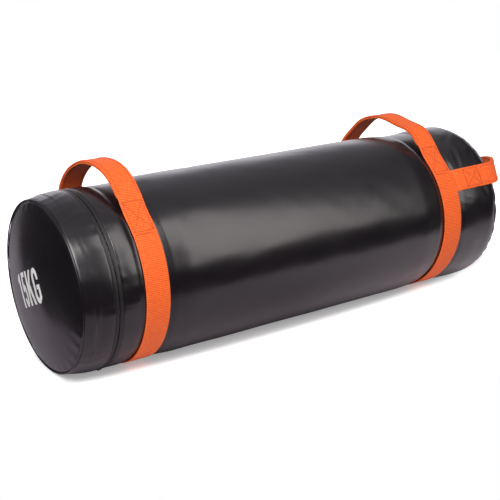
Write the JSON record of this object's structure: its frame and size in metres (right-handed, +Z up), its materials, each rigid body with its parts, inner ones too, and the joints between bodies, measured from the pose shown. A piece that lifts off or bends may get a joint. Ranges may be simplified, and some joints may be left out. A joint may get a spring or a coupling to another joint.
{
  "type": "sandbag trainer",
  "caption": "Soft cylindrical training bag with a sand filling, webbing grip handles across it and a loop handle on one end.",
  "frame": {"origin": "on the flat that the bag rests on, under the middle of its length", "axes": "+X along the bag from the weight-marked lid to the end handle, +Z up, the side shown in the picture faces -Y"},
  "size_m": [0.6936, 0.2355, 0.2353],
  "materials": {
    "leather": "black synthetic leather, semi-gloss",
    "webbing": "orange woven polypropylene webbing",
    "zip_tape": "black woven zip tape",
    "zip_coil": "black nylon coil",
    "zip_metal": "black enamelled zinc",
    "foam": "grey closed-cell foam",
    "filler_fabric": "undyed woven fabric",
    "tie_cord": "white braided cord",
    "sand": "dry sand"
  },
  "bodies": {
    "bag": {"cover_body": "leather", "cover_lid_band": "leather", "cover_lid_panel": "leather", "lid_welt": "leather", "cover_end_panel": "leather", "cover_bridge": "leather", "zip_tape_lid": "zip_tape", "zip_tape_body": "zip_tape", "zip_coil_lid": "zip_coil", "zip_coil_body": "zip_coil", "zip_stop_closed": "zip_metal", "zip_stop_open": "zip_metal", "left_strap": "webbing", "right_strap": "webbing", "end_strip_front": "webbing", "end_strip_back": "webbing", "foam_wrap": "foam", "foam_lid_pad": "foam", "foam_end_pad": "foam", "filler_bag": "filler_fabric", "filler_neck_tie": "tie_cord", "sand_fill": "sand"},
    "left_grip": {"left_handle": "webbing", "left_handle_lining": "webbing"},
    "right_grip": {"right_handle": "webbing", "right_handle_lining": "webbing"},
    "end_grip": {"end_handle": "webbing", "end_handle_lining": "webbing"},
    "slider": {"zip_slider": "zip_metal"},
    "pull": {"zip_pull": "zip_metal"}
  },
  "joints": [
    {"name": "left_handle_flop", "type": "hinge", "parent": "bag", "child": "left_grip", "pos_m": [-0.232, 0.0351, 0.15404], "axis": [0, -0.829, 0.5592], "range_deg": [-30, 30], "stiffness_Nm_per_rad": 0.15},
    {"name": "right_handle_flop", "type": "hinge", "parent": "bag", "child": "right_grip", "pos_m": [0.22, 0.0351, 0.15404], "axis": [0, -0.829, 0.5592], "range_deg": [-30, 30], "stiffness_Nm_per_rad": 0.15},
    {"name": "end_handle_flop", "type": "hinge", "parent": "bag", "child": "end_grip", "pos_m": [0.293, 0, 0.102], "axis": [0, -0.8339, 0.5519], "range_deg": [-38, 20], "stiffness_Nm_per_rad": 0.15},
    {"name": "zip_slide", "type": "hinge", "parent": "bag", "child": "slider", "pos_m": [-0.28, 0, 0.102], "axis": [1, 0, 0], "range_deg": [0, 212]},
    {"name": "pull_swing", "type": "hinge", "parent": "slider", "child": "pull", "pos_m": [-0.28, 0.09869, 0.15013], "axis": [1, 0, 0], "range_deg": [0, 150]}
  ]
}
